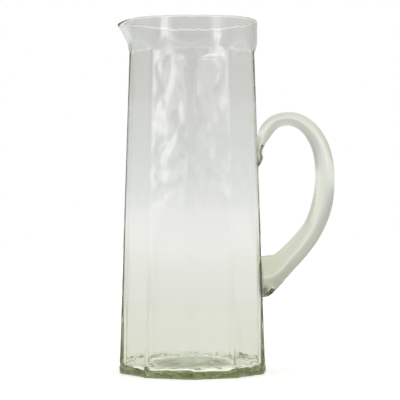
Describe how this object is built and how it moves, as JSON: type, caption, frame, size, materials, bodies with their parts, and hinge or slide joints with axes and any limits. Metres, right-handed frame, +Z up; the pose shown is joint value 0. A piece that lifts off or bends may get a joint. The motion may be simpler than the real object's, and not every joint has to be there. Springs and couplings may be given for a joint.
{
  "type": "glass jug",
  "caption": "Faceted blown-glass jug that tapers to a round collar with a pulled pouring spout, and an applied glass-rod handle, for serving water and other drinks.",
  "frame": {"origin": "middle of the flat underside of the foot", "axes": "+Z up along the vessel's axis, +X towards the handle, -X towards the spout"},
  "size_m": [0.1603, 0.1116, 0.2585],
  "materials": {
    "vessel_glass": "clear recycled glass with a pale yellow-green tint, fire-polished, slightly rippled",
    "handle_glass": "clear recycled glass with a pale yellow-green tint, drawn rod, glossy"
  },
  "bodies": {
    "root": {"blown_vessel": "vessel_glass", "applied_handle": "handle_glass"}
  },
  "joints": []
}
